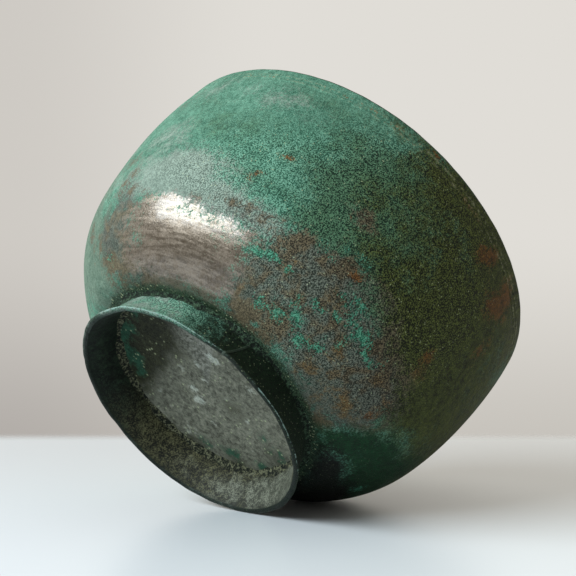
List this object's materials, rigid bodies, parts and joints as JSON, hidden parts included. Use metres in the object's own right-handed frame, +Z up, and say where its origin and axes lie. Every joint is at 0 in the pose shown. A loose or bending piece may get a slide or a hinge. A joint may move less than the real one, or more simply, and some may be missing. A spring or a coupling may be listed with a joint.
{
  "type": "hammered copper bowl",
  "caption": "Deep raised sheet-metal bowl with a nearly upright wall, a plain thickened rim and a soldered flared foot band.",
  "frame": {"origin": "centre of the foot's standing face, on the bowl's axis", "axes": "+Z up along the bowl's axis, towards the rim; +X and +Y lie in the standing face"},
  "size_m": [0.16, 0.16, 0.1],
  "materials": {
    "patinated_sheet": "aged, matte green patina with a bare worn patch",
    "patinated_foot": "aged, dark green patina with pale deposits",
    "braze": "tarnished braze",
    "solder": "tarnished solder under green crust"
  },
  "bodies": {
    "root": {"bowl_body": "patinated_sheet", "foot_ring": "patinated_foot", "foot_joint_braze": "braze", "outer_solder": "solder", "inner_solder": "solder"}
  },
  "joints": []
}
